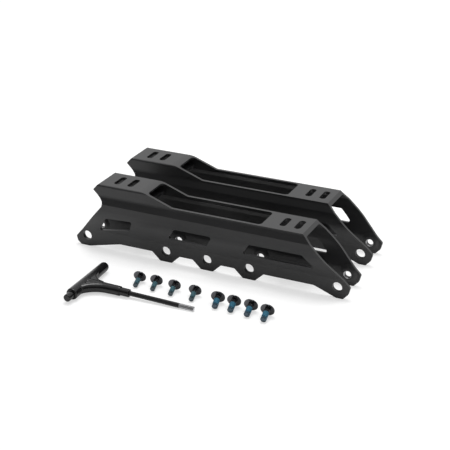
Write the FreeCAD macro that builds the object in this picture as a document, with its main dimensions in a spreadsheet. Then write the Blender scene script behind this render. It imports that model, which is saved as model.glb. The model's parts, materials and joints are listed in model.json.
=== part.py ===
# Inline skate frame kit: a pair of frames for four 90 mm or three 110 mm wheels, with the eight
# mounting screws and the T-handle hex key that come with them. Millimetres. X runs along the frames,
# heel at -X and toe at +X, Y runs across them, Z is up. The origin is on the table, under the middle
# of the whole kit.

import FreeCAD, Part
import Sketcher
import math
import os

# Axle line. The five axle places suit four 90 mm wheels (1, 2, 4, 5) or three 110 mm wheels (1, 3, 5).
wheelbase = 273
inner_axle_spacing = 91
axle_height = 11.5
axle_head_hole = 10
axle_thread_hole = 6.8
axle_thread_lead_in = 0.7
hub_gap = 24
boss_base_diameter = 19
boss_face_diameter = 13

# Cross-section of the extrusion: widths over the outside, and heights above the table.
deck_width = 36
crease_width = 42.6
belly_width = 45.4
foot_width = 32
crease_height = 52
belly_height = 38.8
foot_band_height = 19
flare_height = 59.5
wall = 2.8
crease_round = 1
belly_round = 30
foot_round = 10
flare_round = 8
deck_edge_round = 2
web_fillet = 2.5

# Decks: the raised heel deck, and the lower web that is also the front deck.
heel_deck_height = 71.5
front_deck_height = 60.5
heel_deck_thickness = 3
web_thickness = 3
ramp_run = 30.5
ramp_blend = 35
ramp_foot_round = 6

# How far the decks and the opening reach from the boot mounting slots beside them.
heel_deck_reach_back = 16.3
heel_deck_reach_front = 21.5
front_deck_reach = 10
web_reach_back = 8.5
opening_reach_heel = 24
opening_reach_toe = 19

# Side outline of a wall.
foot_reach = 13
foot_tip_height = 12.7
toe_chin_height = 5.5
toe_chin_reach = 11.1
toe_flat_reach = 6
toe_flat_length = 7
toe_ramp_length = 22.5
heel_tip_height = 8.8
heel_chin_reach = 11.7
heel_chin_height = 3.6
heel_flat_reach = 7.7
heel_flat_length = 10.2
heel_ramp_length = 36
lip_reach = 5.5
lip_height = 65.4
notch_depth = 7.7
notch_height = 52.5
notch_round = 5.5
skirt_height = 8.6
lug_bottom_width = 13
lug_top_width = 31
outline_round = 2
ramp_round = 12

# Windows through both walls. Each corner is placed along the frame from the axle next to it.
window_top = 40.3
window_bottom = 27.4
window_round = 2
heel_window_low_back = 14.5
heel_window_low_back_height = 20
heel_window_high_back = 26
heel_window_high_back_height = 37.4
heel_window_high_front = 34
heel_window_high_front_height = 39.3
heel_window_low_front = 39.3
middle_window_low_back = 4
middle_window_high_back = 12.7
middle_window_high_front = 9
middle_window_low_front = 1
toe_window_low_back = 6.2
toe_window_high_back = 2.5
toe_window_high_front = 34
toe_window_low_front = 21.1

# Long opening in the top, and the boot mounting slots. The inner slots are 165 mm apart and the outer
# ones 195 mm.
opening_round = 4
slot_width = 6.5
slot_length = 19
slot_round = 3
mount_middle = -6
inner_mount_distance = 165
outer_mount_distance = 195

# Places of the two frames on the table.
near_frame_along = 2.25
near_frame_across = 17.64
far_frame_along = -2.25
far_frame_across = 93.34

# Screws: M5 and M6 with a flanged button head, and a thread-lock patch in a shallow relief.
small_shank = 4.8
small_flange = 12.6
small_head = 8.6
small_socket = 3
large_shank = 5.8
large_flange = 13.6
large_head = 9.8
large_socket = 4
shank_length = 14
flange_thickness = 1.1
head_dome_height = 2
socket_depth = 2
tip_chamfer = 0.8
patch_start = 4
patch_length = 6
patch_relief = 0.25

# T-handle key. Its own X runs along the shaft and its own Y along the T bar, from where they cross.
key_along = -86.6
key_across = -80.46
key_turn = 1.5
key_near_arm = 26.5
key_far_arm = 40.6
key_near_diameter = 11.8
key_far_diameter = 9.8
key_bar_edge = 1.5
key_stem_length = 38.6
key_stem_root = 11
key_stem_end = 9
key_gusset_along = 13.5
key_gusset_across = 8.6
key_gusset_thickness = 9
key_gusset_round = 28
key_gusset_edge = 3
key_inner_reach = 20
key_inner_fillet = 12
ferrule_length = 9.2
ferrule_diameter = 7.8
ferrule_edge = 0.6
key_hex = 4
key_shaft_length = 67.5
key_shaft_hold = 18
key_tip_edge = 0.4
pusher_diameter = 7.4
pusher_length = 8.5
pusher_hold = 8
pusher_hold_diameter = 5
pusher_edge = 0.9

# Where the eight screws lie in their row, and which way their shanks point.
small_screw_1_along = -45.4
small_screw_1_across = -47.76
small_screw_1_turn = -82
small_screw_2_along = -27.2
small_screw_2_across = -47.66
small_screw_2_turn = -80
small_screw_3_along = -6.9
small_screw_3_across = -49.06
small_screw_3_turn = -81.5
small_screw_4_along = 15.8
small_screw_4_across = -50.46
small_screw_4_turn = -81
large_screw_1_along = 41.7
large_screw_1_across = -54.26
large_screw_1_turn = -78.5
large_screw_2_along = 58.5
large_screw_2_across = -54.66
large_screw_2_turn = -81.5
large_screw_3_along = 76.1
large_screw_3_across = -55.66
large_screw_3_turn = -83.5
large_screw_4_along = 93.7
large_screw_4_across = -57.86
large_screw_4_turn = -84

# Every size above goes into the sheet as a plain number, under its own name.
doc = FreeCAD.newDocument("SkateFrameKit")
sheet = doc.addObject("Spreadsheet::Sheet", "Sizes")
sizes = [(name, value) for name, value in vars().items() if isinstance(value, (int, float))]
for row, (name, value) in enumerate(sizes, 1):
    sheet.set("A%d" % row, name)
    sheet.set("B%d" % row, str(value))
    sheet.setAlias("B%d" % row, name)
doc.recompute()


def read(expression):
    """Value of an expression in the sheet's words, as a plain number."""
    value = sheet.evalExpression(expression)
    return float(getattr(value, "Value", value))


def named(expression):
    """The same expression as another object of the document reads it."""
    words = []
    word = ""
    for letter in expression + " ":
        if letter.isalnum() or letter == "_":
            word += letter
            continue
        if word and word[0].isalpha() and word not in ("atan", "asin", "cos", "sqrt", "deg"):
            word = "Sizes." + word
        words.append(word + letter)
        word = ""
    return "".join(words).strip()


def bind(thing, path, expression):
    thing.setExpression(path, named(expression))


def new_body(name):
    body = doc.addObject("PartDesign::Body", name)
    body.Label = name
    return body


def new_sketch(body, name, plane):
    """A sketch on one of the body's own planes."""
    flat = next(f for f in body.Origin.OriginFeatures if f.Role == plane + "_Plane")
    sketch = body.newObject("Sketcher::SketchObject", name)
    sketch.AttachmentSupport = [(flat, "")]
    sketch.MapMode = "FlatFace"
    return sketch


def rounded_corner(before, corner, after, radius):
    """Where an arc of this radius leaves and meets the two straight runs at a corner, its centre, and
    whether it turns left."""
    back = (before - corner).normalize()
    ahead = (after - corner).normalize()
    half = back.getAngle(ahead) / 2
    reach = radius / math.tan(half)
    centre = corner + (back + ahead).normalize() * (radius / math.sin(half))
    left = back.cross(ahead).z < 0
    return corner + back * reach, corner + ahead * reach, centre, left


def outline(sketch, corners):
    """Closed outline through corners (across, up, rounding), each one an expression in the sheet's
    words, or "0" on an axis. A rounding of None leaves the corner sharp. A corner that mirrors an
    earlier one follows it, and so does a rounding that is written the same."""
    points = [FreeCAD.Vector(read(c[0]), read(c[1]), 0) for c in corners]
    radii = [0 if c[2] is None else read(c[2]) for c in corners]
    count = len(corners)
    bends = []
    for i in range(count):
        if radii[i]:
            bends.append(rounded_corner(points[i - 1], points[i], points[(i + 1) % count], radii[i]))
        else:
            bends.append(None)
    lines = []
    for i in range(count):
        start = bends[i][1] if bends[i] else points[i]
        after = (i + 1) % count
        end = bends[after][0] if bends[after] else points[after]
        lines.append(sketch.addGeometry(Part.LineSegment(start, end), False))
    rules = []
    drives = []
    held = {}
    first_arc = {}

    def drive(rule, expression):
        rules.append(rule)
        drives.append((len(rules) - 1, expression))

    def hold(geometry, end, i):
        across, up, rounding = corners[i]
        twin = held.get((across[2:-1], up)) if across.startswith("-(") else None
        if twin:
            rules.append(Sketcher.Constraint("Symmetric", twin[0], twin[1], geometry, end, -2))
            return
        held[(across, up)] = (geometry, end)
        if across == "0":
            rules.append(Sketcher.Constraint("PointOnObject", geometry, end, -2))
        else:
            drive(Sketcher.Constraint("DistanceX", -1, 1, geometry, end, points[i].x), across)
        if up == "0":
            rules.append(Sketcher.Constraint("PointOnObject", geometry, end, -1))
        else:
            drive(Sketcher.Constraint("DistanceY", -1, 1, geometry, end, points[i].y), up)

    for i in range(count):
        line_in = lines[i - 1]
        line_out = lines[i]
        if not bends[i]:
            rules.append(Sketcher.Constraint("Coincident", line_in, 2, line_out, 1))
            hold(line_out, 1, i)
            continue
        start, end, centre, left = bends[i]
        ring = Part.Circle(centre, FreeCAD.Vector(0, 0, 1), radii[i])
        low, high = (start, end) if left else (end, start)
        low = math.atan2(low.y - centre.y, low.x - centre.x)
        high = math.atan2(high.y - centre.y, high.x - centre.x)
        high = high if high > low else high + 2 * math.pi
        bend = sketch.addGeometry(Part.ArcOfCircle(ring, low, high), False)
        first = 1 if left else 2
        corner = sketch.addGeometry(Part.Point(points[i]), True)
        hold(corner, 1, i)
        rules.append(Sketcher.Constraint("PointOnObject", corner, 1, line_in))
        rules.append(Sketcher.Constraint("PointOnObject", corner, 1, line_out))
        rules.append(Sketcher.Constraint("Tangent", line_in, 2, bend, first))
        rules.append(Sketcher.Constraint("Tangent", line_out, 1, bend, 3 - first))
        rounding = corners[i][2]
        if rounding in first_arc:
            rules.append(Sketcher.Constraint("Equal", first_arc[rounding], bend))
        else:
            first_arc[rounding] = bend
            drive(Sketcher.Constraint("Radius", bend, radii[i]), rounding)
    base = sketch.ConstraintCount
    sketch.addConstraint(rules)
    for index, expression in drives:
        bind(sketch, "Constraints[%d]" % (base + index), expression)


def circle(sketch, across, up, diameter):
    """One circle with its place and diameter held by expressions."""
    centre = FreeCAD.Vector(read(across), read(up), 0)
    ring = Part.Circle(centre, FreeCAD.Vector(0, 0, 1), read(diameter) / 2)
    index = sketch.addGeometry(ring, False)
    for kind, axis, value, expression in (
        ("DistanceX", -2, centre.x, across),
        ("DistanceY", -1, centre.y, up),
    ):
        if expression == "0":
            sketch.addConstraint(Sketcher.Constraint("PointOnObject", index, 3, axis))
        else:
            rule = sketch.addConstraint(Sketcher.Constraint(kind, -1, 1, index, 3, value))
            bind(sketch, "Constraints[%d]" % rule, expression)
    rule = sketch.addConstraint(Sketcher.Constraint("Diameter", index, read(diameter)))
    bind(sketch, "Constraints[%d]" % rule, diameter)


def solid_feature(body, kind, name, sketch, length, symmetric=False, reverse=False):
    """A Pad or Pocket of a sketch."""
    feature = body.newObject("PartDesign::" + kind, name)
    feature.Profile = sketch
    feature.SideType = "Symmetric" if symmetric else "One side"
    feature.Reversed = reverse
    feature.Length = read(length)
    bind(feature, "Length", length)
    return feature


def cut(body, name, sketch, length, symmetric=False, reverse=False, refine=False):
    """A Pocket that has to take material away."""
    before = body.Shape.Volume
    feature = solid_feature(body, "Pocket", name, sketch, length, symmetric, reverse)
    feature.Refine = refine
    doc.recompute()
    if not body.Shape.Volume < before - 1e-3:
        raise RuntimeError(name + " cuts nothing")
    return feature


def revolve(body, name, sketch, axis):
    """A Revolution of a sketch about one of its own axes."""
    feature = body.newObject("PartDesign::Revolution", name)
    feature.Profile = sketch
    feature.ReferenceAxis = (sketch, [axis])
    feature.Angle = 360
    doc.recompute()
    return feature


# Heights and widths that several cuts share.
WEB_UNDER = "(front_deck_height - web_thickness)"
MILLED_DOWN_TO = "(front_deck_height - web_thickness - web_fillet)"
INNER_HALF = "(deck_width / 2 - wall)"
FLARE_AT_WEB = (
    "(deck_width / 2 - wall + (crease_width - deck_width) / 2"
    " * (flare_height - front_deck_height + web_thickness) / (flare_height - crease_height))"
)
HEEL_AXLE = "(-wheelbase / 2)"
TOE_AXLE = "(wheelbase / 2)"
SECOND_AXLE = "(-wheelbase / 2 + inner_axle_spacing)"
FOURTH_AXLE = "(wheelbase / 2 - inner_axle_spacing)"
AXLES = (HEEL_AXLE, SECOND_AXLE, "0", FOURTH_AXLE, TOE_AXLE)
HEEL_TIP = "(-wheelbase / 2 - foot_reach)"
TOE_TIP = "(wheelbase / 2 + foot_reach)"
BEYOND = "(wheelbase / 2 + foot_reach + wall)"
ABOVE = "(heel_deck_height + wall)"
HEEL_OUTER_SLOT = "(mount_middle - outer_mount_distance / 2)"
HEEL_INNER_SLOT = "(mount_middle - inner_mount_distance / 2)"
TOE_INNER_SLOT = "(mount_middle + inner_mount_distance / 2)"
TOE_OUTER_SLOT = "(mount_middle + outer_mount_distance / 2)"
SLOTS = (HEEL_OUTER_SLOT, HEEL_INNER_SLOT, TOE_INNER_SLOT, TOE_OUTER_SLOT)
HEEL_DECK_BACK = "(mount_middle - outer_mount_distance / 2 - heel_deck_reach_back)"
HEEL_DECK_FRONT = "(mount_middle - inner_mount_distance / 2 + heel_deck_reach_front)"
HEEL_DECK_MIDDLE = "(%s / 2 + %s / 2)" % (HEEL_DECK_BACK, HEEL_DECK_FRONT)
WEB_BACK = "(mount_middle - inner_mount_distance / 2 + web_reach_back)"
HEEL_FLAT = "(-wheelbase / 2 - heel_flat_reach + heel_flat_length / 2)"
TOE_FLAT = "(wheelbase / 2 + toe_flat_reach - toe_flat_length / 2)"


def mirrored(corners):
    """The corners and then their mirror images, back in reverse order."""
    other = [("-(%s)" % across, up, rounding) for across, up, rounding in reversed(corners)]
    return list(corners) + other


def extrusion(body):
    """Walls that flare out below the deck and draw in to the wheel band, joined by the lower web and by
    the heel deck, with a closed box between these two."""
    outer = new_sketch(body, "outer_section", "YZ")
    outline(outer, mirrored([
        ("foot_width / 2", "0", None),
        ("foot_width / 2", "foot_band_height", "foot_round"),
        ("belly_width / 2", "belly_height", "belly_round"),
        ("crease_width / 2", "crease_height", "crease_round"),
        ("deck_width / 2", "flare_height", "flare_round"),
        ("deck_width / 2", "heel_deck_height", "deck_edge_round"),
    ]))
    solid_feature(body, "Pad", "extrusion", outer, "2 * " + BEYOND, symmetric=True)
    doc.recompute()
    channel = new_sketch(body, "channel_section", "YZ")
    outline(channel, mirrored([
        ("foot_width / 2 - wall", "-wall", None),
        ("foot_width / 2 - wall", "foot_band_height", "foot_round + wall"),
        ("belly_width / 2 - wall", "belly_height", "belly_round - wall"),
        ("crease_width / 2 - wall", "crease_height", "crease_round + wall"),
        (FLARE_AT_WEB, WEB_UNDER, "web_fillet"),
    ]))
    cut(body, "channel", channel, "3 * " + BEYOND, symmetric=True)
    box = new_sketch(body, "box_section", "YZ")
    outline(box, mirrored([
        (INNER_HALF, "front_deck_height", "web_fillet"),
        (INNER_HALF, "heel_deck_height - heel_deck_thickness", "web_fillet"),
    ]))
    cut(body, "box", box, "3 * " + BEYOND, symmetric=True)


def through(body, name, *outlines):
    """Takes outlines out of both walls."""
    sketch = new_sketch(body, name + "_outline", "XZ")
    for corners in outlines:
        outline(sketch, corners)
    cut(body, name, sketch, "belly_width * 2", symmetric=True)


def side_outline(body):
    """Heel foot, notch and heel deck, then ramp, front deck and slanted toe, then the low edge, where
    three lugs stand between the two feet."""
    through(body, "heel_end", [
        (HEEL_FLAT, "0", None),
        (HEEL_AXLE + " - heel_flat_reach", "0", "outline_round"),
        (HEEL_AXLE + " - heel_chin_reach", "heel_chin_height", "outline_round"),
        (HEEL_TIP, "heel_tip_height", "outline_round"),
        (HEEL_DECK_BACK + " + notch_depth", "notch_height", "notch_round"),
        (HEEL_DECK_BACK + " - lip_reach", "lip_height", "crease_round"),
        (HEEL_DECK_BACK, "heel_deck_height", "outline_round"),
        (HEEL_DECK_MIDDLE, "heel_deck_height", None),
        (HEEL_DECK_MIDDLE, ABOVE, None),
        ("-" + BEYOND, ABOVE, None),
        ("-" + BEYOND, "-wall", None),
        (HEEL_FLAT, "-wall", None),
    ])
    through(body, "toe_end", [
        (TOE_FLAT, "0", None),
        (TOE_AXLE + " + toe_flat_reach", "0", "outline_round"),
        (TOE_AXLE + " + toe_chin_reach", "toe_chin_height", "outline_round"),
        (TOE_TIP, "foot_tip_height", "outline_round"),
        (TOE_OUTER_SLOT + " + front_deck_reach", "front_deck_height", None),
        (HEEL_DECK_FRONT + " + ramp_run", "front_deck_height", "ramp_foot_round"),
        (HEEL_DECK_FRONT, "heel_deck_height", "ramp_blend"),
        (HEEL_DECK_MIDDLE, "heel_deck_height", None),
        (HEEL_DECK_MIDDLE, ABOVE, None),
        (BEYOND, ABOVE, None),
        (BEYOND, "-wall", None),
        (TOE_FLAT, "-wall", None),
    ])
    spans = []
    for axle in AXLES[1:4]:
        spans.append((
            [(axle + " + lug_bottom_width / 2", "0", "outline_round"),
             (axle + " + lug_top_width / 2", "skirt_height", "outline_round")],
            [(axle + " - lug_top_width / 2", "skirt_height", "outline_round"),
             (axle + " - lug_bottom_width / 2", "0", "outline_round")],
            axle,
        ))
    heel_front = HEEL_AXLE + " - heel_flat_reach + heel_flat_length"
    toe_back = TOE_AXLE + " + toe_flat_reach - toe_flat_length"
    heel = [
        (heel_front, "0", "ramp_round"),
        (heel_front + " + heel_ramp_length", "skirt_height", "ramp_round"),
    ]
    toe = [
        (toe_back + " - toe_ramp_length", "skirt_height", "ramp_round"),
        (toe_back, "0", "outline_round"),
    ]
    starts = [(heel, HEEL_FLAT)] + [(span[0], span[2]) for span in spans]
    ends = [(span[1], span[2]) for span in spans] + [(toe, TOE_FLAT)]
    edges = []
    for (up, back), (down, front) in zip(starts, ends):
        edge = [(back, "0", None)] + up + down + [(front, "0", None)]
        edges.append(edge + [(front, "-wall", None), (back, "-wall", None)])
    through(body, "low_edge_back", *edges[:2])
    through(body, "low_edge_front", *edges[2:])


def windows(body):
    """Three windows through both walls."""
    heel = [
        (HEEL_AXLE + " + heel_window_low_back", "heel_window_low_back_height", "window_round"),
        (SECOND_AXLE + " - heel_window_low_front", "window_bottom", "window_round"),
        (SECOND_AXLE + " - heel_window_high_front", "heel_window_high_front_height", "window_round"),
        (HEEL_AXLE + " + heel_window_high_back", "heel_window_high_back_height", "window_round"),
    ]
    middle = [
        (SECOND_AXLE + " + middle_window_low_back", "window_bottom", "window_round"),
        ("middle_window_low_front", "window_bottom", "window_round"),
        ("middle_window_high_front", "window_top", "window_round"),
        (SECOND_AXLE + " + middle_window_high_back", "window_top", "window_round"),
    ]
    toe = [
        (FOURTH_AXLE + " - toe_window_low_back", "window_bottom", "window_round"),
        (TOE_AXLE + " - toe_window_low_front", "window_bottom", "window_round"),
        (TOE_AXLE + " - toe_window_high_front", "window_top", "window_round"),
        (FOURTH_AXLE + " + toe_window_high_back", "window_top", "window_round"),
    ]
    through(body, "windows", heel, middle, toe)


def rectangle(sketch, back, front, side, rounding):
    """Rounded rectangle, from back to front, as wide to each side of the middle."""
    outline(sketch, [
        (back, "-(%s)" % side, rounding),
        (front, "-(%s)" % side, rounding),
        (front, side, rounding),
        (back, side, rounding),
    ])


def milled_from_above(body, name, holes):
    """Rounded rectangles cut through the decks, down to the fillets under the web."""
    sketch = new_sketch(body, name + "_outline", "XY")
    lift(sketch, MILLED_DOWN_TO)
    for hole in holes:
        rectangle(sketch, *hole)
    cut(body, name, sketch, "heel_deck_height", reverse=True)


def lift(sketch, expression):
    """Moves a sketch along its plane's normal."""
    sketch.AttachmentOffset = FreeCAD.Placement(FreeCAD.Vector(0, 0, read(expression)), FreeCAD.Rotation())
    bind(sketch, "AttachmentOffset.Base.z", expression)


def axle_bosses(body, name, side):
    """Low conical bosses on the inside of one wall. Side -1 is the near wall and 1 the far wall."""
    sketch = new_sketch(body, name, "XZ")
    lift(sketch, "%d * hub_gap / 2" % -side)
    for axle in AXLES:
        circle(sketch, axle, "axle_height", "boss_face_diameter")
    depth = "(foot_width - 2 * wall - hub_gap) / 2"
    flare = "atan((boss_base_diameter - boss_face_diameter) / (foot_width - 2 * wall - hub_gap))"
    pad = solid_feature(body, "Pad", name + "_pad", sketch, depth + " + wall / 4", reverse=side > 0)
    pad.TaperAngle = read(flare)
    bind(pad, "TaperAngle", flare)
    doc.recompute()


def frame(name):
    """One frame. Its near wall takes the axle heads and its far wall the axle threads."""
    body = new_body(name)
    extrusion(body)
    axle_bosses(body, "near_bosses", -1)
    axle_bosses(body, "far_bosses", 1)
    side_outline(body)
    windows(body)
    opening = (
        HEEL_INNER_SLOT + " + opening_reach_heel",
        TOE_INNER_SLOT + " - opening_reach_toe",
        INNER_HALF,
        "opening_round",
    )
    milled_from_above(body, "top_opening", [opening])
    slots = []
    for slot in SLOTS:
        half = " slot_width / 2"
        slots.append((slot + " -" + half, slot + " +" + half, "slot_length / 2", "slot_round"))
    milled_from_above(body, "slots", slots)
    web = new_sketch(body, "web_end", "XZ")
    outline(web, [
        ("-" + BEYOND, MILLED_DOWN_TO, None),
        (WEB_BACK, MILLED_DOWN_TO, None),
        (WEB_BACK, "front_deck_height + web_fillet", None),
        ("-" + BEYOND, "front_deck_height + web_fillet", None),
    ])
    cut(body, "web_cut_back", web, "2 * " + INNER_HALF, symmetric=True)
    for side, hole in (("near", "axle_head_hole"), ("far", "axle_thread_hole")):
        holes = new_sketch(body, side + "_holes_plan", "XZ")
        for axle in AXLES:
            circle(holes, axle, "axle_height", hole)
        cut(body, side + "_holes", holes, "belly_width", reverse=side == "near", refine=side == "far")
    lead_in(body)
    return body


def lead_in(body):
    """Chamfers where the axles start into the threaded holes."""
    radius = read("axle_thread_hole") / 2
    face = read("hub_gap") / 2
    rims = []
    for number, edge in enumerate(body.Shape.Edges, 1):
        curve = edge.Curve
        if isinstance(curve, Part.Circle) and abs(curve.Radius - radius) < 1e-4:
            if abs(curve.Center.y - face) < 1e-4:
                rims.append("Edge%d" % number)
    last = body.Tip
    chamfer = body.newObject("PartDesign::Chamfer", "lead_in")
    chamfer.Base = (last, rims)
    chamfer.Size = read("axle_thread_lead_in")
    bind(chamfer, "Size", "axle_thread_lead_in")
    doc.recompute()


def hexagon(sketch, flats):
    """Hexagon across its own middle, with two corners on the sketch's across axis."""
    corner = "%s / sqrt(3)" % flats
    outline(sketch, [
        (corner, "0", None),
        ("%s / 2" % corner, "%s / 2" % flats, None),
        ("-%s / 2" % corner, "%s / 2" % flats, None),
        ("-%s" % corner, "0", None),
        ("-%s / 2" % corner, "-%s / 2" % flats, None),
        ("%s / 2" % corner, "-%s / 2" % flats, None),
    ])


def place(body, along, across, up, turn, pitch):
    """Puts a body at a place on the table, turned about Z and pitched about its own Y."""
    spot = "create(<<vector>>; %s; %s; %s)" % tuple(named(part) for part in (along, across, up))
    turned = "create(<<rotation>>; %s; %s; 0)" % (named(turn), named(pitch))
    body.setExpression("Placement", "create(<<placement>>; %s; %s)" % (spot, turned))


def screw_lie(kind):
    """How far a screw leans, and how high its flange is, when its flange and its tip touch the table."""
    lean = "atan((%s_flange - %s_shank) / 2 / (shank_length - tip_chamfer))" % (kind, kind)
    return lean, "%s_flange / 2 * cos(%s)" % (kind, lean)


def screw(name, kind):
    """One flanged button-head screw. Its own Z runs from the tip to the head."""
    body = new_body(name)
    profile = new_sketch(body, name + "_profile", "XZ")
    shank = kind + "_shank / 2"
    relief = shank + " - patch_relief"
    top = "flange_thickness + head_dome_height"
    outline(profile, [
        ("0", "-shank_length", None),
        (shank + " - tip_chamfer", "-shank_length", None),
        (shank, "-shank_length + tip_chamfer", None),
        (shank, "-patch_start - patch_length", None),
        (relief, "-patch_start - patch_length", None),
        (relief, "-patch_start", None),
        (shank, "-patch_start", None),
        (shank, "0", None),
        (kind + "_flange / 2", "0", None),
        (kind + "_flange / 2", "flange_thickness", "flange_thickness / 2"),
        (kind + "_head / 2", "flange_thickness", None),
        (kind + "_head / 2", top, "head_dome_height * 0.9"),
        ("0", top, None),
    ])
    revolve(body, name + "_turned", profile, "V_Axis")
    socket = new_sketch(body, name + "_socket", "XY")
    lift(socket, top)
    hexagon(socket, kind + "_socket")
    cut(body, name + "_socket_cut", socket, "socket_depth")
    return body


def patch(name, kind):
    """Ring of thread-lock coating in the relief of a screw's shank."""
    body = new_body(name)
    profile = new_sketch(body, name + "_profile", "XZ")
    inside = kind + "_shank / 2 - patch_relief"
    outside = kind + "_shank / 2"
    outline(profile, [
        (inside, "-patch_start - patch_length", None),
        (outside, "-patch_start - patch_length", None),
        (outside, "-patch_start", None),
        (inside, "-patch_start", None),
    ])
    revolve(body, name + "_ring", profile, "V_Axis")
    return body


# The key's lean brings the tip of its shaft to the table while the near end of its bar rests on it.
KEY_REACH = "(key_stem_length + ferrule_length + key_shaft_length)"
KEY_LEAN = (
    "asin(key_near_diameter / 2 / sqrt(%s * %s + key_hex * key_hex / 4)) - atan(key_hex / 2 / %s)"
    % (KEY_REACH, KEY_REACH, KEY_REACH)
)


def key_handle():
    """Moulded T handle: the gusset between stem and near arm, a bar with a round far end, the stem, and
    a small web on the far side."""
    body = new_body("key_handle")
    gusset = new_sketch(body, "key_gusset", "XY")
    outline(gusset, [
        ("0", "key_bar_edge - key_near_arm", None),
        ("(key_near_diameter - key_bar_edge) / 2", "key_bar_edge - key_near_arm", None),
        ("key_gusset_along", "-key_gusset_across", "key_gusset_round"),
        ("key_stem_length - key_bar_edge", "-key_stem_end * 0.45", None),
        ("key_stem_length - key_bar_edge", "0", None),
        ("0", "0", None),
    ])
    solid_feature(body, "Pad", "key_gusset_pad", gusset, "key_gusset_thickness", symmetric=True)
    doc.recompute()
    soften_gusset(body)
    bar = new_sketch(body, "key_bar", "XY")
    outline(bar, [
        ("0", "-key_near_arm", None),
        ("key_near_diameter / 2", "-key_near_arm", "key_bar_edge"),
        ("key_far_diameter / 2", "key_far_arm", "key_far_diameter * 0.45"),
        ("0", "key_far_arm", None),
    ])
    revolve(body, "key_bar_turned", bar, "V_Axis")
    stem = new_sketch(body, "key_stem", "XY")
    outline(stem, [
        ("0", "0", None),
        ("key_stem_length", "0", None),
        ("key_stem_length", "key_stem_end / 2", "ferrule_edge"),
        ("0", "key_stem_root / 2", None),
    ])
    revolve(body, "key_stem_turned", stem, "H_Axis")
    inner = new_sketch(body, "key_inner_web", "XY")
    outline(inner, [
        ("0", "0", None),
        ("key_inner_reach", "0", None),
        ("key_inner_reach", "key_stem_end * 0.45", None),
        ("key_far_diameter * 0.45", "key_stem_end * 0.45", "key_inner_fillet"),
        ("key_far_diameter * 0.45", "key_inner_reach", None),
        ("0", "key_inner_reach", None),
    ])
    solid_feature(body, "Pad", "key_inner_pad", inner, "key_gusset_thickness * 0.8", symmetric=True)
    doc.recompute()
    bore = new_sketch(body, "key_bore", "YZ")
    lift(bore, "key_stem_length - key_shaft_hold")
    hexagon(bore, "key_hex")
    cut(body, "key_bore_cut", bore, "key_shaft_hold", reverse=True)
    seat = new_sketch(body, "key_pusher_seat", "XZ")
    lift(seat, "key_near_arm - pusher_hold")
    circle(seat, "0", "0", "pusher_hold_diameter")
    cut(body, "key_pusher_seat_cut", seat, "pusher_hold", reverse=True)
    return body


def soften_gusset(body):
    """Rounds the long curved edges of the gusset, above and below."""
    level = read("key_gusset_thickness") / 2
    rims = []
    for number, edge in enumerate(body.Shape.Edges, 1):
        middle = edge.CenterOfMass
        outer = middle.y < -read("key_stem_end") * 0.45 - 1e-4 and middle.x > read("key_near_diameter") / 2
        if outer and abs(abs(middle.z) - level) < 1e-4:
            rims.append("Edge%d" % number)
    last = body.Tip
    soft = body.newObject("PartDesign::Fillet", "key_gusset_soft")
    soft.Base = (last, rims)
    soft.Radius = read("key_gusset_edge")
    bind(soft, "Radius", "key_gusset_edge")
    doc.recompute()


def key_ferrule():
    """Stepped collar at the end of the stem, with the shaft through it."""
    body = new_body("key_ferrule")
    profile = new_sketch(body, "ferrule_profile", "XY")
    outline(profile, [
        ("key_stem_length", "0", None),
        ("key_stem_length + ferrule_length", "0", None),
        ("key_stem_length + ferrule_length", "ferrule_diameter / 2", "ferrule_edge"),
        ("key_stem_length", "ferrule_diameter / 2", None),
    ])
    revolve(body, "ferrule_turned", profile, "H_Axis")
    bore = new_sketch(body, "ferrule_bore", "YZ")
    lift(bore, "key_stem_length")
    hexagon(bore, "key_hex")
    cut(body, "ferrule_bore_cut", bore, "ferrule_length", reverse=True)
    return body


def key_shaft():
    """Hex bar from inside the stem to the working tip."""
    body = new_body("key_shaft")
    section = new_sketch(body, "shaft_section", "YZ")
    lift(section, "key_stem_length - key_shaft_hold")
    hexagon(section, "key_hex")
    length = "key_shaft_hold + ferrule_length + key_shaft_length"
    bar = solid_feature(body, "Pad", "shaft_bar", section, length)
    doc.recompute()
    tip = read("key_stem_length + ferrule_length + key_shaft_length")
    rims = []
    for number, edge in enumerate(body.Shape.Edges, 1):
        if abs(edge.CenterOfMass.x - tip) < 1e-4:
            rims.append("Edge%d" % number)
    chamfer = body.newObject("PartDesign::Chamfer", "shaft_tip")
    chamfer.Base = (bar, rims)
    chamfer.Size = read("key_tip_edge")
    bind(chamfer, "Size", "key_tip_edge")
    doc.recompute()
    return body


def key_pusher():
    """Round nub on the near end of the bar, held by a spigot."""
    body = new_body("key_pusher")
    profile = new_sketch(body, "pusher_profile", "XY")
    outline(profile, [
        ("0", "-key_near_arm - pusher_length", None),
        ("pusher_diameter / 2", "-key_near_arm - pusher_length", "pusher_edge"),
        ("pusher_diameter / 2", "-key_near_arm", None),
        ("pusher_hold_diameter / 2", "-key_near_arm", None),
        ("pusher_hold_diameter / 2", "-key_near_arm + pusher_hold", None),
        ("0", "-key_near_arm + pusher_hold", None),
    ])
    revolve(body, "pusher_turned", profile, "V_Axis")
    return body


def twin(name, original):
    """The same piece again, in a body of its own that follows the first one."""
    body = new_body(name)
    same = body.newObject("PartDesign::FeatureBase", name + "_base")
    same.BaseFeature = original
    body.Tip = same
    return body


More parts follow.
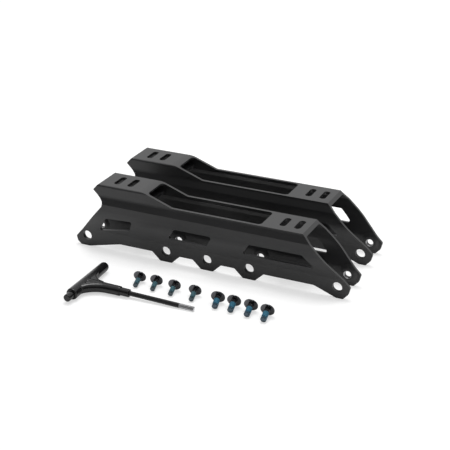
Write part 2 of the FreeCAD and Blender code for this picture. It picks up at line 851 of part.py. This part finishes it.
near_frame = frame("near_frame")
pieces = [near_frame, twin("far_frame", near_frame)]
for body in pieces:
    place(body, body.Label + "_along", body.Label + "_across", "0", "0", "0")
for kind in ("small", "large"):
    lean, height = screw_lie(kind)
    screws = [screw(kind + "_screw_1", kind)]
    patches = [patch(kind + "_patch_1", kind)]
    for number in (2, 3, 4):
        screws.append(twin("%s_screw_%d" % (kind, number), screws[0]))
        patches.append(twin("%s_patch_%d" % (kind, number), patches[0]))
    for body, ring in zip(screws, patches):
        for thing in (body, ring):
            spot = body.Label
            place(thing, spot + "_along", spot + "_across", height, spot + "_turn", "%s - 90 deg" % lean)
    pieces += screws + patches
key = [key_handle(), key_ferrule(), key_shaft(), key_pusher()]
for body in key:
    place(body, "key_along", "key_across", "key_near_diameter / 2", "key_turn", KEY_LEAN)
pieces += key
doc.recompute()

for thing in doc.Objects:
    if "Invalid" in thing.State or "Error" in thing.State:
        raise RuntimeError("%s failed: %s" % (thing.Name, thing.State))
for body in pieces:
    if body.Shape.isNull() or not body.Shape.isValid() or len(body.Shape.Solids) != 1:
        raise RuntimeError(body.Label + " is not one good solid")

os.makedirs("parts", exist_ok=True)
for body in pieces:
    body.Shape.exportStep("parts/%s.step" % body.Label)
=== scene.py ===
import bpy
import json
import math
from mathutils import Matrix, Vector


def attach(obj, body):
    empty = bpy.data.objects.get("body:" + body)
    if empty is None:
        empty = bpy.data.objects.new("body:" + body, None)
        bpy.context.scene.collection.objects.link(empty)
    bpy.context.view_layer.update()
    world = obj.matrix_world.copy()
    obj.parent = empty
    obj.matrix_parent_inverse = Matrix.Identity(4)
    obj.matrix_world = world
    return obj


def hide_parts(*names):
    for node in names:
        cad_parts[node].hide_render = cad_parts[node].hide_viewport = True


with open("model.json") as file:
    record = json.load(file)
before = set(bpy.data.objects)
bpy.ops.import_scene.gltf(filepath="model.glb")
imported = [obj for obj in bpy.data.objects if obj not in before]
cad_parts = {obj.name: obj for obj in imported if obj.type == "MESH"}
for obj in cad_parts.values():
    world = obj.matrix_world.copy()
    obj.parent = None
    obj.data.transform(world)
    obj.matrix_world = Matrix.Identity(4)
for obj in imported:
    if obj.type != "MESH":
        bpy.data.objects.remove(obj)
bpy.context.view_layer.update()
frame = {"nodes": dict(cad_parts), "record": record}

# The view is that of a catalogue picture: a long lens off the toe end and a little above, so that both
# frames and all the small parts are seen at once.
eye = Vector((0.48354, -0.95280, 0.54387))
turn, dip, roll = math.radians(25.78), math.radians(24.84), math.radians(-0.44)
film_width, focal_length = 36.0, 97.2664
ahead = Vector((-math.sin(turn) * math.cos(dip), math.cos(turn) * math.cos(dip), -math.sin(dip)))
level = Vector((math.cos(turn), math.sin(turn), 0.0))
upright = level.cross(ahead)
right = math.cos(roll) * level + math.sin(roll) * upright
up = -math.sin(roll) * level + math.cos(roll) * upright
stand = Matrix((right, up, -ahead)).transposed().to_4x4()
stand.translation = eye
camera_data = bpy.data.cameras.new("catalogue_camera")
camera_data.sensor_width = film_width
camera_data.lens = focal_length
camera_data.clip_start = 0.05
camera_data.clip_end = 50.0
camera = bpy.data.objects.new("catalogue_camera", camera_data)
camera.matrix_world = stand
bpy.context.scene.collection.objects.link(camera)
bpy.context.scene.camera = camera
bpy.context.scene.view_settings.view_transform = "Standard"


# The white table, a sweep of matt laminate. It is one sheet, so wide that its far edge is outside the
# picture, and it keeps the soft shadow under each piece.
def srgb(code):
    """Linear colour of an sRGB hex value."""
    channels = [int(code[i:i + 2], 16) / 255.0 for i in (1, 3, 5)]
    return tuple(c / 12.92 if c <= 0.04045 else ((c + 0.055) / 1.055) ** 2.4 for c in channels) + (1.0,)


def add_node(tree, kind, settings=None, values=None, links=None):
    """Adds a node, with its settings, its socket values and the outputs linked to its sockets."""
    new = tree.nodes.new(kind)
    for key, value in (settings or {}).items():
        setattr(new, key, value)
    for socket, value in (values or {}).items():
        new.inputs[socket].default_value = value
    for socket, output in (links or {}).items():
        tree.links.new(output, new.inputs[socket])
    return new


def blank_material(name):
    """A material without nodes, and the tree to fill."""
    material = bpy.data.materials.new(name)
    material.use_nodes = True
    tree = material.node_tree
    tree.nodes.clear()
    return material, tree


# The sheet lies 0.3 mm low, clear of the key's handle, which is the lowest piece.
table_width, table_top = 12.0, -0.0003
bpy.ops.object.select_all(action="DESELECT")
bpy.ops.mesh.primitive_plane_add(size=table_width, location=(0.0, 0.0, table_top))
table = bpy.context.object
table.name = "white_table"
# Matt laminate shows shadow and no gleam. Seen straight it is a pale grey that glows to white. A
# reflection sees a white paint with less glow, which keeps the deep shadow close to each piece.
white, white_paint, pale_grey = srgb("#ffffff"), srgb("#efefef"), srgb("#bcbcbc")
laminate, tree = blank_material("matt_white_laminate")
sheet = add_node(tree, "ShaderNodeBsdfDiffuse", values={"Color": pale_grey, "Roughness": 0.5})
glow = add_node(tree, "ShaderNodeEmission", values={"Color": white, "Strength": 0.56})
straight = add_node(tree, "ShaderNodeAddShader", links={0: sheet.outputs[0], 1: glow.outputs[0]})
paint = add_node(tree, "ShaderNodeBsdfDiffuse", values={"Color": white_paint, "Roughness": 0.5})
faint = add_node(tree, "ShaderNodeEmission", values={"Color": white, "Strength": 0.15})
painted = add_node(tree, "ShaderNodeAddShader", links={0: paint.outputs[0], 1: faint.outputs[0]})
path = add_node(tree, "ShaderNodeLightPath")
mirrored = add_node(tree, "ShaderNodeMixShader",
                    links={0: path.outputs["Is Glossy Ray"], 1: sheet.outputs[0], 2: painted.outputs[0]})
direct = add_node(tree, "ShaderNodeMath", settings={"operation": "MAXIMUM"},
                  links={0: path.outputs["Is Camera Ray"], 1: path.outputs["Is Transmission Ray"]})
cover = add_node(tree, "ShaderNodeMixShader",
                 links={0: direct.outputs[0], 1: mirrored.outputs[0], 2: straight.outputs[0]})
add_node(tree, "ShaderNodeOutputMaterial", links={"Surface": cover.outputs[0]})
table.data.materials.append(laminate)


# What looks at it straight sees plain white.
room_light = 0.12
world = bpy.data.worlds.new("studio")
bpy.context.scene.world = world
world.use_nodes = True
tree = world.node_tree
tree.nodes.clear()
place = add_node(tree, "ShaderNodeTexCoord")
split = add_node(tree, "ShaderNodeSeparateXYZ", links={0: place.outputs["Generated"]})
behind = add_node(tree, "ShaderNodeMapRange", settings={"interpolation_type": "SMOOTHSTEP"},
                  values={"From Min": -0.35, "From Max": 0.15}, links={"Value": split.outputs["Y"]})
overhead = add_node(tree, "ShaderNodeMapRange", settings={"interpolation_type": "SMOOTHSTEP"},
                    values={"From Min": 0.6, "From Max": 0.9}, links={"Value": split.outputs["Z"]})
lit = add_node(tree, "ShaderNodeMath", settings={"operation": "MAXIMUM"},
               links={0: behind.outputs[0], 1: overhead.outputs[0]})
around = add_node(tree, "ShaderNodeMapRange", values={"To Min": room_light, "To Max": 1.0},
                  links={"Value": lit.outputs[0]})
path = add_node(tree, "ShaderNodeLightPath")
direct = add_node(tree, "ShaderNodeMath", settings={"operation": "MAXIMUM"},
                  links={0: path.outputs["Is Camera Ray"], 1: path.outputs["Is Transmission Ray"]})
strength = add_node(tree, "ShaderNodeMix", settings={"data_type": "FLOAT"}, values={"B": 1.0},
                    links={"Factor": direct.outputs[0], "A": around.outputs[0]})
studio = add_node(tree, "ShaderNodeBackground", values={"Color": white},
                  links={"Strength": strength.outputs[0]})
add_node(tree, "ShaderNodeOutputWorld", links={"Surface": studio.outputs[0]})


# It gives the short soft shadows, and the frames' decks gleam under it.
softbox = bpy.data.lights.new("overhead_softbox", "AREA")
softbox.shape = "RECTANGLE"
softbox.size = 0.8
softbox.size_y = 0.55
softbox.energy = 14.0
lamp = bpy.data.objects.new("overhead_softbox", softbox)
lamp.location = (-0.1, 0.35, 1.5)
lamp.rotation_euler = (-lamp.location).to_track_quat("-Z", "Y").to_euler()
bpy.context.scene.collection.objects.link(lamp)


# The two frames: one aluminium extrusion each, milled, bead blasted and anodised black. The near wall
# takes the axle heads and the far wall their threads, whose cut rims are bright metal.
mounts = {mount["name"]: mount for mount in frame["record"]["mounts"]}


def spot_of(name):
    """Middle of a mount, the way it faces, and its length."""
    mount = mounts[name]
    return Vector(mount["pos_m"]), Vector(mount["axis"]), mount["dims"].get("length_mm", 0.0) / 1000


def finish_node(name, material):
    """Gives a CAD node one material of its own."""
    mesh = frame["nodes"][name].data
    mesh.materials.clear()
    mesh.materials.append(material)
    for face in mesh.polygons:
        face.material_index = 0


def anodised(name, node):
    """Black anodised aluminium. Blasting gives the fine matt grain, and the extrusion die leaves faint
    lines along the frame."""
    material, tree = blank_material(name)
    place = add_node(tree, "ShaderNodeTexCoord").outputs["Object"]
    # Die lines 1.54 mm apart run the length of the frame and change over some 250 mm.
    line_gap, line_length = 0.00154, 0.25
    drawn = add_node(tree, "ShaderNodeMapping",
                     values={"Scale": (1 / line_length, 1 / line_gap, 1 / line_gap)}, links={"Vector": place})
    lines = add_node(tree, "ShaderNodeTexNoise", values={"Scale": 1.0, "Detail": 2.0},
                     links={"Vector": drawn.outputs[0]})
    # Blast grain is 0.1 mm. It is drawn at 0.7 mm so that it shows.
    drawn_grain = 0.000714
    grain = add_node(tree, "ShaderNodeTexNoise", values={"Scale": 1 / drawn_grain, "Detail": 2.0},
                     links={"Vector": place})
    # The dye takes a little unevenly over some 40 mm.
    cloud_width = 0.04
    cloud = add_node(tree, "ShaderNodeTexNoise", values={"Scale": 1 / cloud_width, "Detail": 3.0},
                     links={"Vector": place})
    dye = add_node(tree, "ShaderNodeMix", settings={"data_type": "RGBA"},
                   values={6: srgb("#19191a"), 7: srgb("#242425")}, links={"Factor": cloud.outputs["Fac"]})
    # The threaded holes are cut after anodising, so their rims are bright: the lead-in chamfer at the
    # boss and a ring as wide on the outside of the wall. The face of the boss and the bore stay dark.
    lead_in, bore = 0.0007, mounts[node + "_axle_thread_1"]["dims"]["r_mm"] / 1000
    split = add_node(tree, "ShaderNodeSeparateXYZ", links={0: place})
    flat = add_node(tree, "ShaderNodeCombineXYZ", links={"X": split.outputs["X"], "Z": split.outputs["Z"]})
    away = []
    for number in range(1, 6):
        thread, _, length = spot_of("%s_axle_thread_%d" % (node, number))
        distance = add_node(tree, "ShaderNodeVectorMath", settings={"operation": "DISTANCE"},
                            values={1: (thread.x, 0.0, thread.z)}, links={0: flat.outputs[0]})
        away.append(distance.outputs["Value"])
    nearest = away[0]
    for distance in away[1:]:
        closer = add_node(tree, "ShaderNodeMath", settings={"operation": "MINIMUM"},
                          links={0: nearest, 1: distance})
        nearest = closer.outputs[0]
    in_ring = add_node(tree, "ShaderNodeMath", settings={"operation": "COMPARE"},
                       values={1: bore + 0.6 * lead_in, 2: 0.51 * lead_in}, links={0: nearest})
    boss_face = thread.y - length / 2 - lead_in
    past_face = add_node(tree, "ShaderNodeMath", settings={"operation": "GREATER_THAN"},
                         values={1: boss_face + 0.03 * lead_in}, links={0: split.outputs["Y"]})
    bare = add_node(tree, "ShaderNodeMath", settings={"operation": "MULTIPLY"},
                    links={0: in_ring.outputs[0], 1: past_face.outputs[0]})
    tone = add_node(tree, "ShaderNodeMix", settings={"data_type": "RGBA"}, values={7: srgb("#c9c9cb")},
                    links={"Factor": bare.outputs[0], 6: dye.outputs[2]})
    rough = add_node(tree, "ShaderNodeMapRange", values={"To Min": 0.38, "To Max": 0.48},
                     links={"Value": grain.outputs["Fac"]})
    relief = add_node(tree, "ShaderNodeBump", values={"Strength": 0.10, "Distance": 0.00005},
                      links={"Height": lines.outputs["Fac"]})
    texture = add_node(tree, "ShaderNodeBump", values={"Strength": 0.12, "Distance": 0.00005},
                       links={"Height": grain.outputs["Fac"], "Normal": relief.outputs[0]})
    surface = add_node(tree, "ShaderNodeBsdfPrincipled",
                       links={"Base Color": tone.outputs[2], "Roughness": rough.outputs[0],
                              "Metallic": bare.outputs[0], "Normal": texture.outputs[0]})
    add_node(tree, "ShaderNodeOutputMaterial", links={"Surface": surface.outputs[0]})
    return material


for node in ("near_frame", "far_frame"):
    finish_node(node, anodised(node.replace("frame", "black_anodised_aluminium"), node))


# Eight flanged button-head screws, M5 and M6, of cold-headed steel with rolled threads and a bright
# black nickel plating. Each has a patch of matt nylon thread-lock and lies on its flange and its tip.
def threaded(name, screw, pitch, tones, roughness, coat=None):
    """Plated steel or thread-lock over a rolled thread, which catches the light on each turn. A coat is
    thread-lock that has spread from the patch and thins out towards the tip."""
    material, tree = blank_material(name)
    # Coordinates with their origin under the flange and Z from the tip to the head.
    middle, outwards, length = spot_of(screw + "_shank")
    place = add_node(tree, "ShaderNodeTexCoord")
    here = add_node(tree, "ShaderNodeMapping", settings={"vector_type": "TEXTURE"},
                    values={"Location": middle - outwards * length / 2,
                            "Rotation": (-outwards).to_track_quat("Z", "Y").to_euler()},
                    links={"Vector": place.outputs["Object"]})
    split = add_node(tree, "ShaderNodeSeparateXYZ", links={0: here.outputs[0]})
    # The thread is a ridge that climbs one pitch each turn and stops 0.6 mm from the flange.
    thread_end = -0.0006
    angle = add_node(tree, "ShaderNodeMath", settings={"operation": "ARCTAN2"},
                     links={0: split.outputs["Y"], 1: split.outputs["X"]})
    turns = add_node(tree, "ShaderNodeMath", settings={"operation": "DIVIDE"},
                     values={1: 2 * math.pi}, links={0: angle.outputs[0]})
    climb = add_node(tree, "ShaderNodeMath", settings={"operation": "DIVIDE"},
                     values={1: pitch}, links={0: split.outputs["Z"]})
    phase = add_node(tree, "ShaderNodeMath", settings={"operation": "ADD"},
                     links={0: turns.outputs[0], 1: climb.outputs[0]})
    wave = add_node(tree, "ShaderNodeMath", settings={"operation": "PINGPONG"},
                    values={1: 0.5}, links={0: phase.outputs[0]})
    on_shank = add_node(tree, "ShaderNodeMath", settings={"operation": "LESS_THAN"},
                        values={1: thread_end}, links={0: split.outputs["Z"]})
    ridge = add_node(tree, "ShaderNodeMath", settings={"operation": "MULTIPLY"},
                     links={0: wave.outputs[0], 1: on_shank.outputs[0]})
    thread = add_node(tree, "ShaderNodeBump", values={"Strength": 0.8, "Distance": pitch},
                      links={"Height": ridge.outputs[0]})
    # Plating and coating both vary over about a millimetre.
    speck = 0.00111
    patchy = add_node(tree, "ShaderNodeTexNoise", values={"Scale": 1 / speck, "Detail": 2.0},
                      links={"Vector": here.outputs[0]})
    tone = add_node(tree, "ShaderNodeMix", settings={"data_type": "RGBA"},
                    values={6: srgb(tones[0]), 7: srgb(tones[1])}, links={"Factor": patchy.outputs["Fac"]})
    rough = add_node(tree, "ShaderNodeMapRange",
                     values={"To Min": roughness * 0.8, "To Max": roughness * 1.25},
                     links={"Value": patchy.outputs["Fac"]})
    surface = add_node(tree, "ShaderNodeBsdfPrincipled",
                       links={"Base Color": tone.outputs[2], "Roughness": rough.outputs[0],
                              "Normal": thread.outputs[0]})
    add_node(tree, "ShaderNodeOutputMaterial", links={"Surface": surface.outputs[0]})
    if coat is None:
        return material
    # The patch ends 10 mm from the flange. The coat past it is thickest there and thinnest at the tip.
    patch_end, thickest, thinnest = -0.01, -0.0102, -0.0138
    thinning = add_node(tree, "ShaderNodeMapRange",
                        values={"From Min": thinnest, "From Max": thickest, "To Min": 0.3, "To Max": 0.85},
                        links={"Value": split.outputs["Z"]})
    past_patch = add_node(tree, "ShaderNodeMath", settings={"operation": "LESS_THAN"},
                          values={1: patch_end}, links={0: split.outputs["Z"]})
    cover = add_node(tree, "ShaderNodeMath", settings={"operation": "MULTIPLY"},
                     links={0: thinning.outputs[0], 1: past_patch.outputs[0]})
    bare = add_node(tree, "ShaderNodeMath", settings={"operation": "SUBTRACT"},
                    values={0: 1.0}, links={1: cover.outputs[0]})
    coated = add_node(tree, "ShaderNodeMix", settings={"data_type": "RGBA"}, values={7: srgb(coat)},
                      links={"Factor": cover.outputs[0], 6: tone.outputs[2]})
    tree.links.new(coated.outputs[2], surface.inputs["Base Color"])
    tree.links.new(bare.outputs[0], surface.inputs["Metallic"])
    return material


# The thread-lock is teal on the thin screws and a stronger blue on the thick ones.
steel, teal, blue = ("#4a4a4c", "#5c5c5f"), ("#2f545e", "#3d656f"), ("#1f5a72", "#2c6e88")
for kind, pitch, lock in (("small", 0.0008, teal), ("large", 0.001, blue)):
    for number in range(1, 5):
        screw = "%s_screw_%d" % (kind, number)
        patch = "%s_patch_%d" % (kind, number)
        finish_node(screw, threaded(screw + "_black_nickel", screw, pitch, steel, 0.2, coat=lock[0]))
        finish_node(patch, threaded(patch + "_thread_lock", screw, pitch, lock, 0.55))


# The T-handle key: a handle, a ferrule and a bearing pusher of glossy black moulded nylon, on a black
# hex bar of steel whose end is ground bare. It rests on the near end of its handle and on its tip.
stem_end, ferrule_length, shaft_length = 38.6, 9.2, 67.5
from_bar = (stem_end + ferrule_length + shaft_length) / 1000
tip, along_shaft, _ = spot_of("key_tip")
along_bar = -spot_of("key_bearing_pusher")[1]
key_lie = Matrix((along_shaft, along_bar, along_shaft.cross(along_bar))).transposed().to_4x4()
key_lie.translation = tip - along_shaft * from_bar


def in_key(tree):
    """Coordinates from the middle of the key's bar, with X along the shaft and Y along the bar."""
    place = add_node(tree, "ShaderNodeTexCoord")
    here = add_node(tree, "ShaderNodeMapping", settings={"vector_type": "TEXTURE"},
                    values={"Location": key_lie.translation, "Rotation": key_lie.to_euler()},
                    links={"Vector": place.outputs["Object"]})
    return here.outputs[0]


def uneven(tree, here, first, second):
    """Gentle ripple of a skin, some 3 mm wide, and a tone that drifts with it."""
    ripple_width = 0.00333
    ripple = add_node(tree, "ShaderNodeTexNoise", values={"Scale": 1 / ripple_width, "Detail": 2.0},
                      links={"Vector": here})
    tone = add_node(tree, "ShaderNodeMix", settings={"data_type": "RGBA"},
                    values={6: srgb(first), 7: srgb(second)}, links={"Factor": ripple.outputs["Fac"]})
    return ripple.outputs["Fac"], tone.outputs[2]


def moulded_nylon(name):
    """Glossy black nylon, with soft-edged highlights and the mould's fine seam at mid height."""
    material, tree = blank_material(name)
    here = in_key(tree)
    ripple, tone = uneven(tree, here, "#0f0f10", "#171718")
    seam_flat, seam_edge = 0.0001, 0.0003
    split = add_node(tree, "ShaderNodeSeparateXYZ", links={0: here})
    off_middle = add_node(tree, "ShaderNodeMath", settings={"operation": "ABSOLUTE"},
                          links={0: split.outputs["Z"]})
    seam = add_node(tree, "ShaderNodeMapRange",
                    values={"From Min": seam_flat, "From Max": seam_edge, "To Min": 1.0, "To Max": 0.0},
                    links={"Value": off_middle.outputs[0]})
    height = add_node(tree, "ShaderNodeMath", settings={"operation": "MULTIPLY_ADD"},
                      values={1: 0.15}, links={0: ripple, 2: seam.outputs[0]})
    relief = add_node(tree, "ShaderNodeBump", values={"Strength": 0.25, "Distance": 0.0002},
                      links={"Height": height.outputs[0]})
    surface = add_node(tree, "ShaderNodeBsdfPrincipled", values={"Roughness": 0.2, "IOR": 1.4},
                       links={"Base Color": tone, "Normal": relief.outputs[0]})
    add_node(tree, "ShaderNodeOutputMaterial", links={"Surface": surface.outputs[0]})
    return material


def oxide_steel(name):
    """Black oxide on drawn steel, a soft dark sheen, with the last 15 mm ground bare and bright."""
    material, tree = blank_material(name)
    here = in_key(tree)
    ripple, tone = uneven(tree, here, "#1e1e1f", "#2b2b2c")
    bare_length = 0.0153
    split = add_node(tree, "ShaderNodeSeparateXYZ", links={0: here})
    bare = add_node(tree, "ShaderNodeMath", settings={"operation": "GREATER_THAN"},
                    values={1: from_bar - bare_length}, links={0: split.outputs["X"]})
    shown = add_node(tree, "ShaderNodeMix", settings={"data_type": "RGBA"}, values={7: srgb("#d2d2d4")},
                     links={"Factor": bare.outputs[0], 6: tone})
    relief = add_node(tree, "ShaderNodeBump", values={"Strength": 0.25, "Distance": 0.00003},
                      links={"Height": ripple})
    surface = add_node(tree, "ShaderNodeBsdfPrincipled", values={"Roughness": 0.3},
                       links={"Base Color": shown.outputs[2], "Metallic": bare.outputs[0],
                              "Normal": relief.outputs[0]})
    add_node(tree, "ShaderNodeOutputMaterial", links={"Surface": surface.outputs[0]})
    return material


nylon = moulded_nylon("glossy_black_nylon")
for name in ("key_ferrule", "key_pusher"):
    finish_node(name, nylon)
finish_node("key_shaft", oxide_steel("black_oxide_steel"))


# The T handle as it is moulded: a round bar, and a stem as thick as a finger that bends over to the
# bar's near end. Webs fill the corners, and the mould's wide radii blend all of it. It is laid out in
# the key's own plane, in millimetres, and takes the place of the plainer handle.
def as_mesh(line, points):
    """Runs a curve through points and turns it into a mesh."""
    spline = line.splines.new("POLY")
    spline.use_cyclic_u = line.dimensions == "2D"
    spline.points.add(len(points) - 1)
    for knot, point in zip(spline.points, points):
        knot.co = (point[0], point[1], 0.0, 1.0)
        knot.radius = point[2] if len(point) > 2 else 1.0
    part = bpy.data.objects.new(line.name, line)
    bpy.context.scene.collection.objects.link(part)
    bpy.ops.object.select_all(action="DESELECT")
    part.select_set(True)
    bpy.context.view_layer.objects.active = part
    bpy.ops.object.convert(target="MESH")
    return bpy.context.object


def limb(points):
    """A round limb with flat ends, along (x, y, radius) points."""
    line = bpy.data.curves.new("limb", "CURVE")
    line.dimensions = "3D"
    line.bevel_depth = 1.0
    line.bevel_resolution = 8
    line.use_fill_caps = True
    return as_mesh(line, points)


def web(points, half_thickness):
    """A flat plate inside (x, y) points."""
    line = bpy.data.curves.new("web", "CURVE")
    line.dimensions = "2D"
    line.fill_mode = "BOTH"
    line.extrude = half_thickness
    return as_mesh(line, points)


def arc(middle, radius, first, last):
    """Points of an arc from one angle to another, in degrees."""
    steps = 10
    angles = [math.radians(first + (last - first) * step / steps) for step in range(steps + 1)]
    return [(middle[0] + radius * math.cos(a), middle[1] + radius * math.sin(a)) for a in angles]


near_end, far_end = -26.5, 40.6
bar_radius, near_radius, near_rim = 4.95, 5.85, 5.3
stem_radius, stem_rim = 4.85, 4.5
dome = 4.6
bar_path = [(0, near_end, near_rim), (0, near_end + 0.8, near_radius), (0, 0, 5.4)]
bar_path.append((0, far_end - dome, bar_radius))
for lean in (0.35, 0.7, 1.0, 1.25, 1.45):
    bar_path.append((0, far_end - dome + dome * math.sin(lean), bar_radius * math.cos(lean)))
stem_path = [(stem_end, 0, stem_rim), (stem_end - 0.6, 0, stem_radius), (stem_end - 7, 0, stem_radius)]
bend_middle, bend_radius = (stem_end - 12.5, -30.0), 29.5
stem_path += [(x, y, stem_radius) for x, y in arc(bend_middle, bend_radius, 90, 158)]
fillet_middle, fillet_radius = (17.5, 17.2), 13.0
far_web = [(0, 0), (20, 0), (17.5, 4.2)] + arc(fillet_middle, fillet_radius, -90, -180) + [(0, 19)]
near_web = [(0, 0), (22, 0), (15, -4), (8, -10), (3, -18), (0, -20)]
parts = [limb(bar_path), limb(stem_path), limb([(0, 0, 4.8), (stem_end - 1, 0, 4.8)])]
parts += [web(far_web, 4.2), web(near_web, 3.9)]
bpy.ops.object.select_all(action="DESELECT")
for part in parts:
    part.select_set(True)
bpy.context.view_layer.objects.active = parts[0]
bpy.ops.object.join()
handle = bpy.context.object
handle.name = "t_handle"
bpy.ops.object.modifier_add(type="REMESH")
skin = handle.modifiers[-1]
skin.mode = "VOXEL"
skin.voxel_size = 0.45
bpy.ops.object.modifier_apply(modifier=skin.name)
bpy.ops.object.modifier_add(type="SMOOTH")
blend = handle.modifiers[-1]
blend.factor = 0.5
blend.iterations = 14
bpy.ops.object.modifier_apply(modifier=blend.name)
bpy.ops.object.shade_smooth()
handle.data.transform(key_lie @ Matrix.Scale(0.001, 4))
handle.data.materials.clear()
handle.data.materials.append(nylon)
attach(handle, "key")
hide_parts("key_handle")
